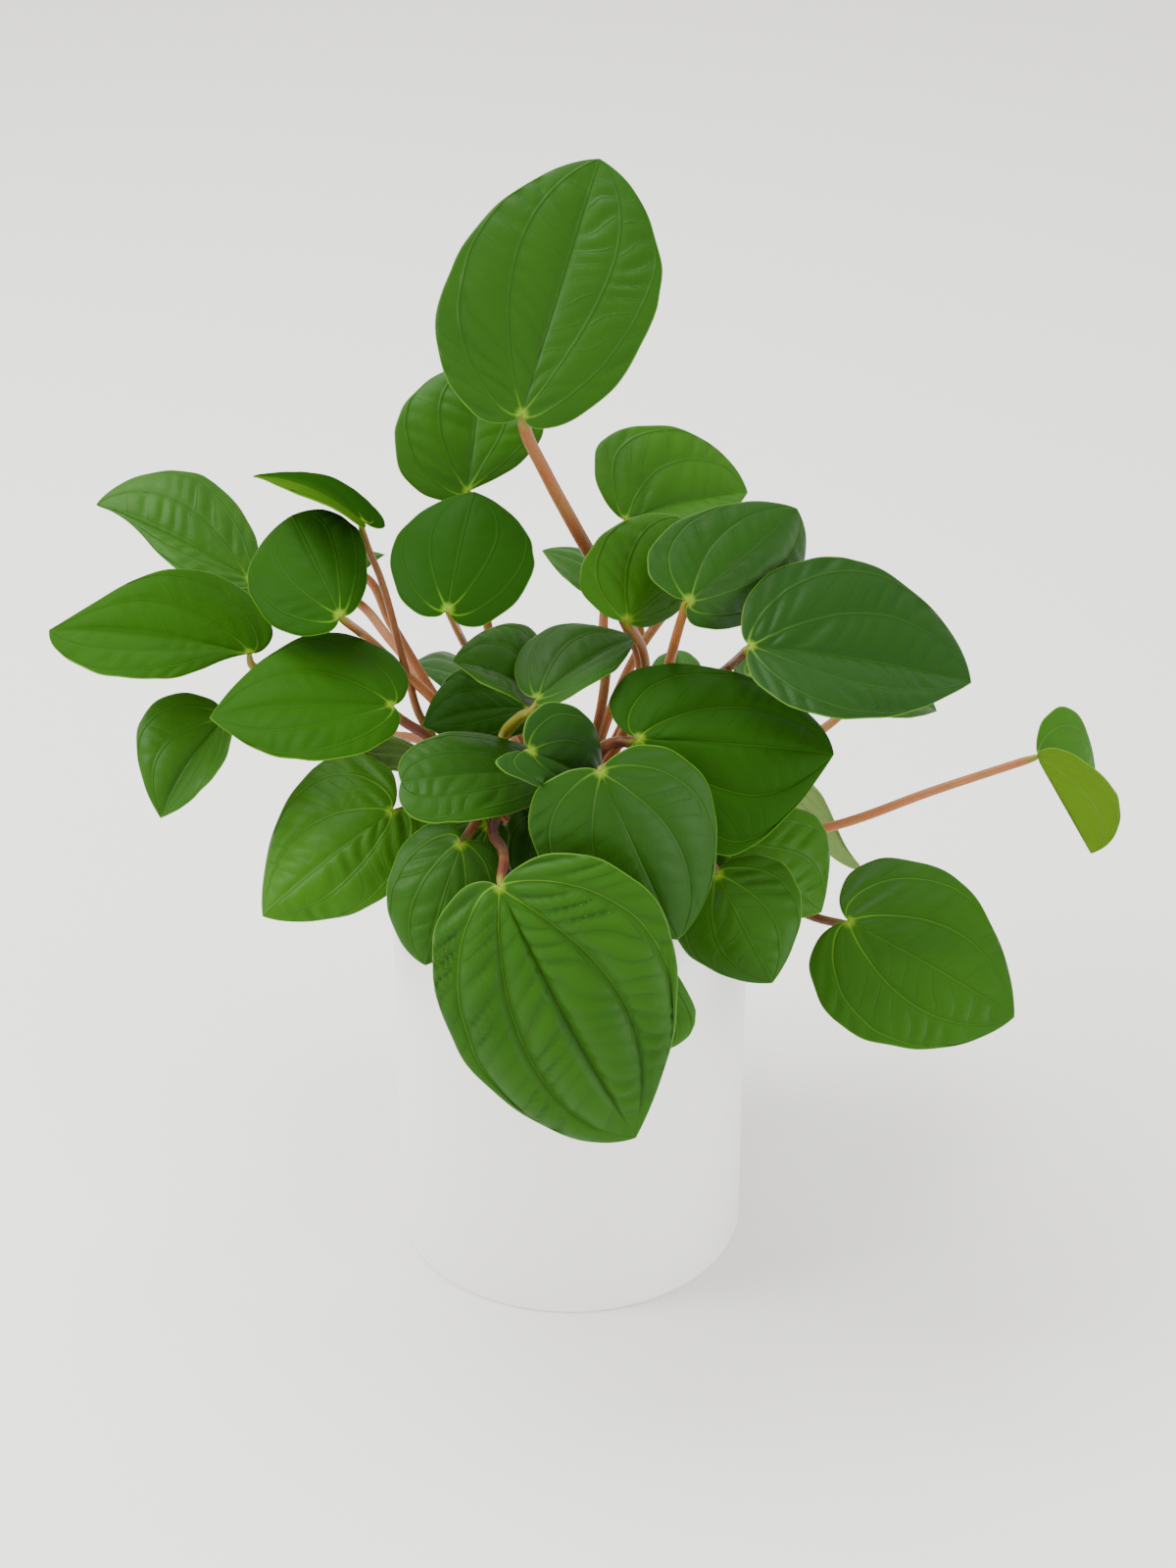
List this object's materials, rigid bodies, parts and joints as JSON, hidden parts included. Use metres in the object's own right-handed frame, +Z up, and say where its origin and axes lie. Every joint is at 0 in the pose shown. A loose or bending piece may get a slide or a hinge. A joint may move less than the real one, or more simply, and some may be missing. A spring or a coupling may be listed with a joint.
{
  "type": "potted foliage plant",
  "caption": "Bushy house plant with thick heart-shaped leaves on arching stalks, in a plain white cylinder pot.",
  "frame": {"origin": "centre of the pot's underside", "axes": "+Z up, -Y towards the side that the picture shows, +X to its right"},
  "size_m": [0.4302, 0.3286, 0.4672],
  "materials": {
    "glazed_white": "satin glazed ceramic",
    "soil": "loose dark potting mix",
    "petiole": "smooth red-brown plant stalk",
    "leaf": "semi-gloss thick green leaf"
  },
  "bodies": {
    "root": {"pot": "glazed_white", "soil": "soil", "stem_with_petioles": "petiole", "blade_top_1": "leaf", "blade_top_2": "leaf", "blade_top_3": "leaf", "blade_upper_right_1": "leaf", "blade_upper_right_2": "leaf", "blade_upper_right_3": "leaf", "blade_upper_right_4": "leaf", "blade_upper_right_5": "leaf", "blade_right_1": "leaf", "blade_right_2": "leaf", "blade_right_3": "leaf", "blade_right_4": "leaf", "blade_right_5": "leaf", "blade_right_6": "leaf", "blade_right_7": "leaf", "blade_right_8": "leaf", "blade_middle_1": "leaf", "blade_middle_2": "leaf", "blade_middle_3": "leaf", "blade_middle_4": "leaf", "blade_middle_5": "leaf", "blade_middle_6": "leaf", "blade_middle_7": "leaf", "blade_middle_8": "leaf", "blade_left_1": "leaf", "blade_left_2": "leaf", "blade_left_3": "leaf", "blade_left_4": "leaf", "blade_left_5": "leaf", "blade_left_6": "leaf", "blade_left_7": "leaf", "blade_low_left_1": "leaf", "blade_low_left_2": "leaf", "blade_low_left_3": "leaf", "blade_low_left_4": "leaf", "blade_low_left_5": "leaf", "blade_front_1": "leaf", "blade_front_2": "leaf", "blade_back_1": "leaf", "blade_back_2": "leaf", "blade_back_3": "leaf", "blade_back_4": "leaf", "blade_back_5": "leaf", "blade_back_6": "leaf", "blade_back_7": "leaf", "blade_back_8": "leaf"}
  },
  "joints": []
}
